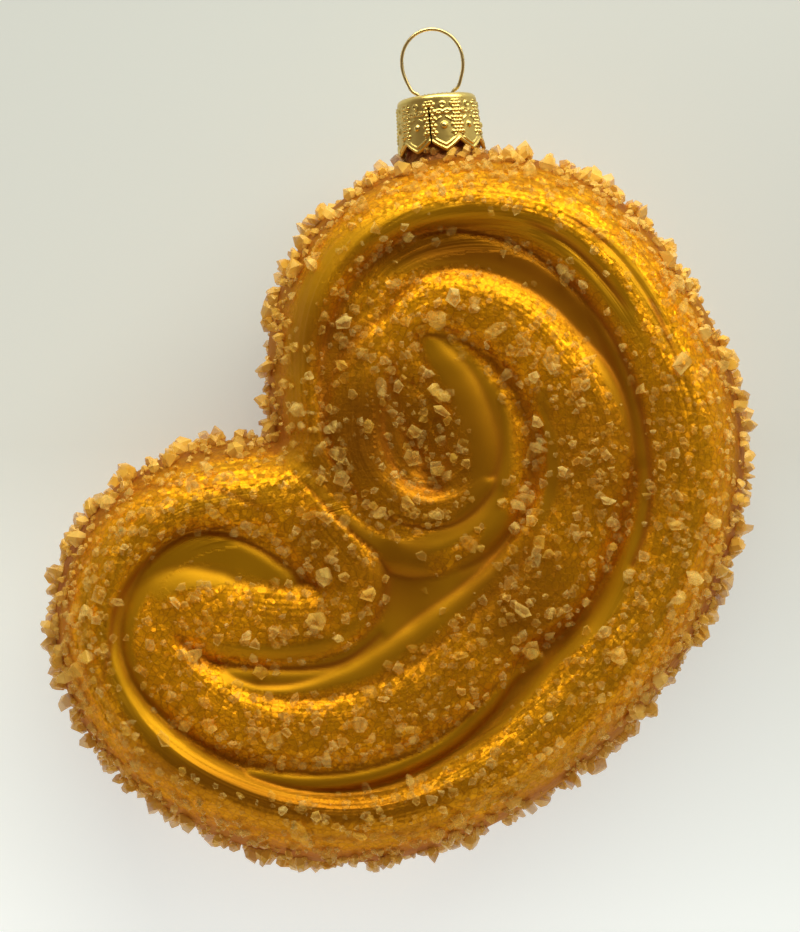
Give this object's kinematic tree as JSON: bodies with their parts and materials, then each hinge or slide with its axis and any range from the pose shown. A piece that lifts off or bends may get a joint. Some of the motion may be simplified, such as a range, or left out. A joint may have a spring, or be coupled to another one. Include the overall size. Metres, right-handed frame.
{
  "type": "palmier-shaped glass ornament",
  "caption": "Hollow blown-glass ornament in the shape of a palmier pastry, crusted with sugar-like glass crystals, with a stamped gold cap and a wire loop, lying on its back.",
  "frame": {"origin": "under the middle of the whole ornament's box, on the surface that it lies on", "axes": "+X to the ornament's right as seen from its front, +Y up towards its cap and loop, +Z out of its front face"},
  "size_m": [0.086, 0.1042, 0.0297],
  "materials": {
    "gold_glass": "silvered inside, with amber-gold lacquer outside, satin and opaque",
    "cap_gold": "gold anodised, stamped with a fine pattern",
    "wire_brass": "bright drawn wire",
    "glass_crystals": "crushed amber glass glued on as sugar, mesh of the visual model only"
  },
  "bodies": {
    "root": {"glass_body": "gold_glass", "cap": "cap_gold", "hanger": "wire_brass"}
  },
  "joints": []
}
